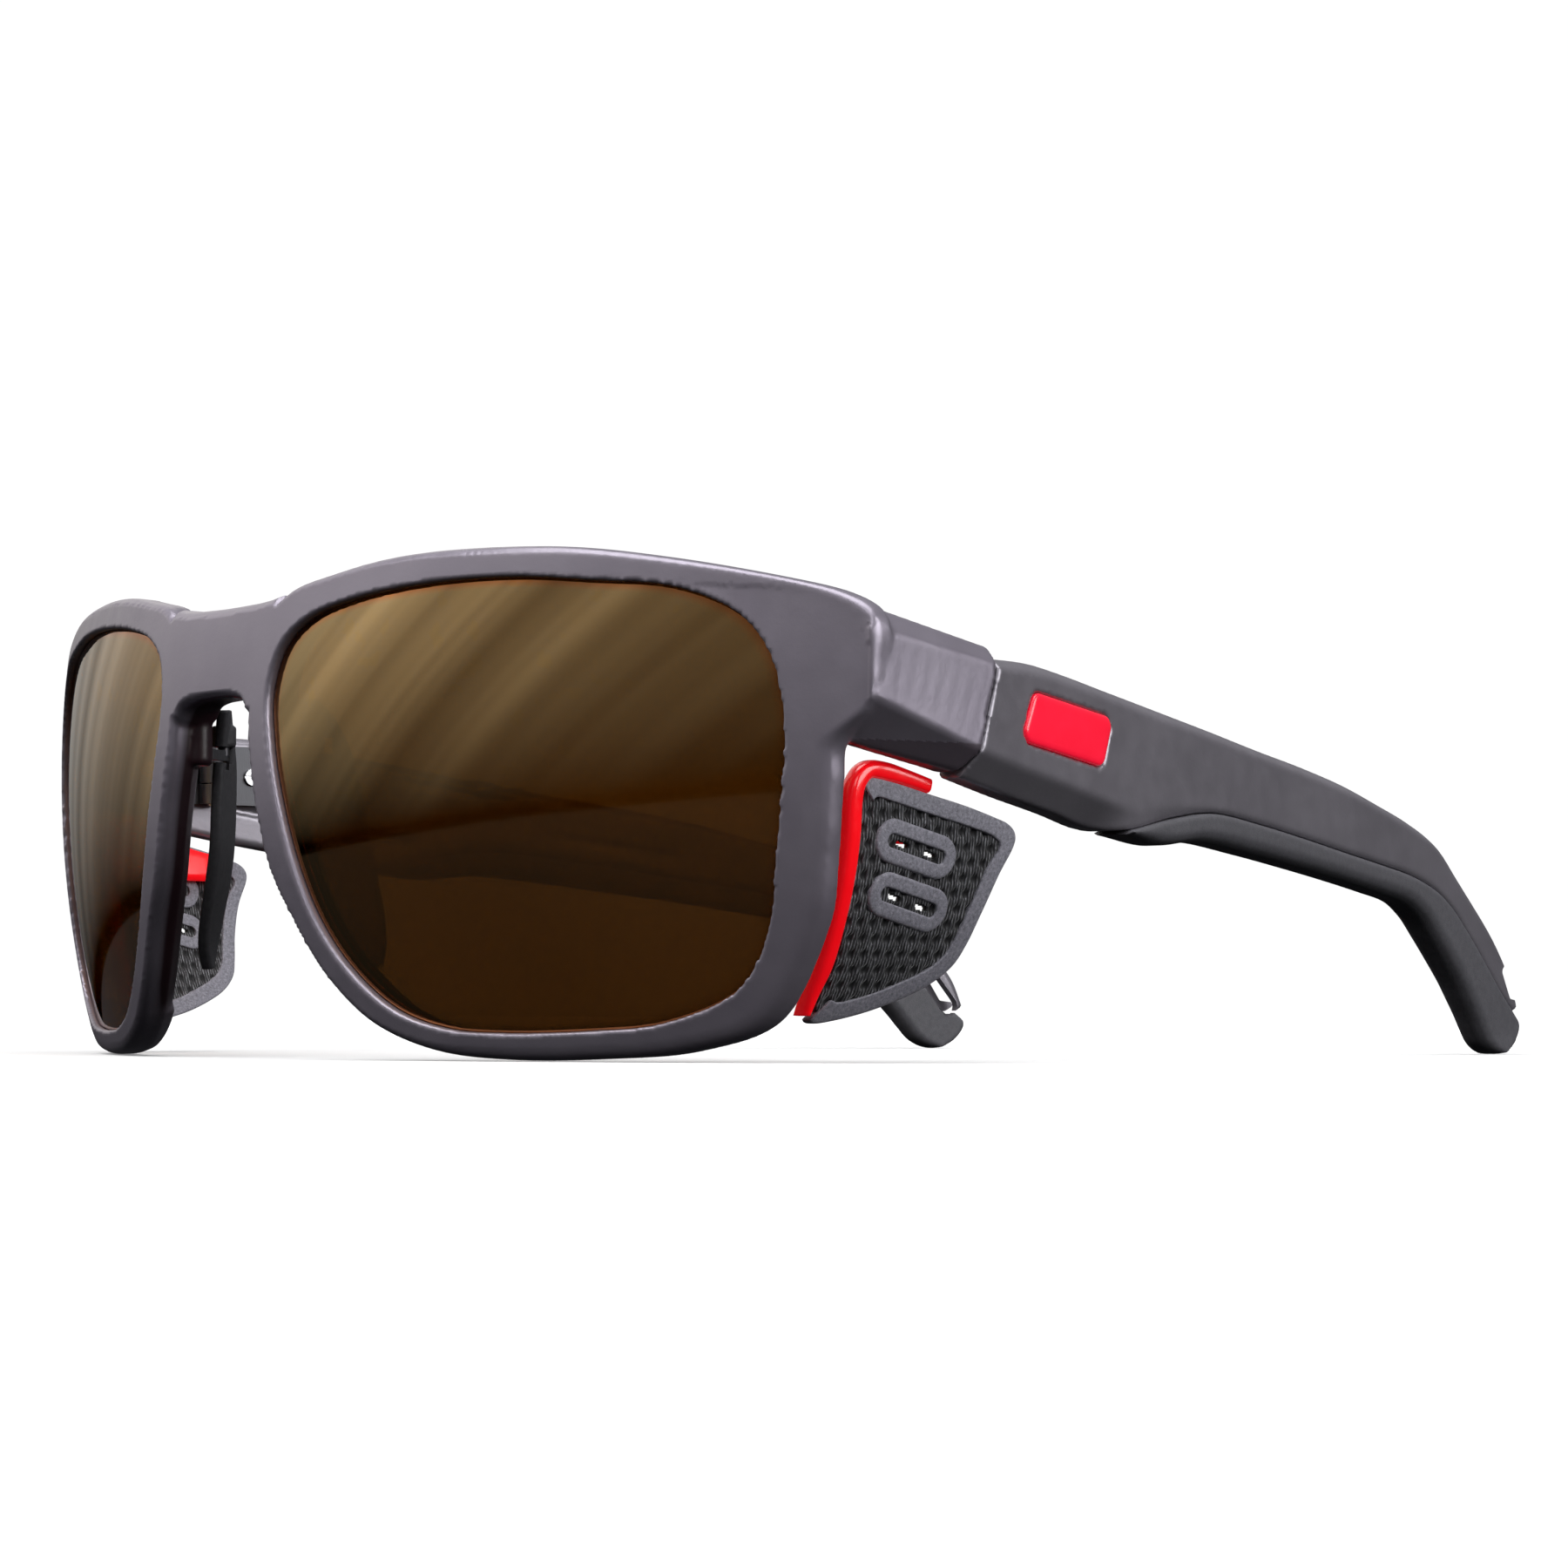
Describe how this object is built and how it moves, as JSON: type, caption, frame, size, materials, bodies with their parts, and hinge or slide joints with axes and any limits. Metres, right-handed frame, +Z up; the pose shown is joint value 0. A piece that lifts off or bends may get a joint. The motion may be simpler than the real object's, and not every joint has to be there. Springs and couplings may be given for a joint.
{
  "type": "glacier glasses",
  "caption": "Wraparound glacier glasses with tinted lenses, folding temples with soft grips, clip-on mesh side shields and adjustable nose pads.",
  "frame": {"origin": "centre of the overall box in X and Y, on the plane that the rims and temple tips rest on", "axes": "+X towards the wearer's left, +Y back along the temples, +Z up"},
  "size_m": [0.1446, 0.1502, 0.0495],
  "materials": {
    "frame": "satin gunmetal lacquer over moulded nylon",
    "lens": "gloss, brown tinted",
    "nose_pad": "matte soft rubber",
    "nose_post": "plain steel wire",
    "hinge_metal": "blackened, brushed",
    "screw_metal": "bright",
    "temple": "satin gunmetal lacquer",
    "grip": "matte soft rubber",
    "badge": "gloss red inlay",
    "clip": "gloss red",
    "shield_fabric": "coarse spacer mesh",
    "shield_trim": "matte welded film",
    "shield_vent": "matte welded film"
  },
  "bodies": {
    "front": {"frame_front": "frame", "left_lens": "lens", "left_nose_pad_post": "nose_post", "left_hinge_front_leaf": "hinge_metal", "left_hinge_screw": "screw_metal", "left_front_leaf_screws": "screw_metal", "right_lens": "lens", "right_nose_pad_post": "nose_post", "right_hinge_front_leaf": "hinge_metal", "right_hinge_screw": "screw_metal", "right_front_leaf_screws": "screw_metal"},
    "left_temple": {"left_temple": "temple", "left_temple_grip": "grip", "left_badge": "badge", "left_hinge_temple_leaf": "hinge_metal", "left_temple_leaf_screws": "screw_metal"},
    "left_shield": {"left_shield_clip": "clip", "left_shield_fabric": "shield_fabric", "left_shield_trim": "shield_trim", "left_shield_vents": "shield_vent"},
    "left_nose_pad": {"left_nose_pad": "nose_pad"},
    "right_temple": {"right_temple": "temple", "right_temple_grip": "grip", "right_badge": "badge", "right_hinge_temple_leaf": "hinge_metal", "right_temple_leaf_screws": "screw_metal"},
    "right_shield": {"right_shield_clip": "clip", "right_shield_fabric": "shield_fabric", "right_shield_trim": "shield_trim", "right_shield_vents": "shield_vent"},
    "right_nose_pad": {"right_nose_pad": "nose_pad"}
  },
  "joints": [
    {"name": "left_temple_fold", "type": "hinge", "parent": "front", "child": "left_temple", "pos_m": [0.0653, -0.0328, 0.03375], "axis": [0, 0, 1], "range_deg": [0, 90]},
    {"name": "left_shield_release", "type": "slide", "parent": "front", "child": "left_shield", "axis": [0, 0, -1], "range_m": [0, 0.012]},
    {"name": "left_nose_pad_adjust", "type": "hinge", "parent": "front", "child": "left_nose_pad", "pos_m": [0.0093, -0.0671, 0.0335], "axis": [0, 0, 1], "range_deg": [-8, 8]},
    {"name": "right_temple_fold", "type": "hinge", "parent": "front", "child": "right_temple", "pos_m": [-0.0653, -0.0328, 0.03375], "axis": [0, 0, -1], "range_deg": [0, 78]},
    {"name": "right_shield_release", "type": "slide", "parent": "front", "child": "right_shield", "axis": [0, 0, -1], "range_m": [0, 0.012]},
    {"name": "right_nose_pad_adjust", "type": "hinge", "parent": "front", "child": "right_nose_pad", "pos_m": [-0.0093, -0.0671, 0.0335], "axis": [0, 0, -1], "range_deg": [-8, 8]}
  ]
}
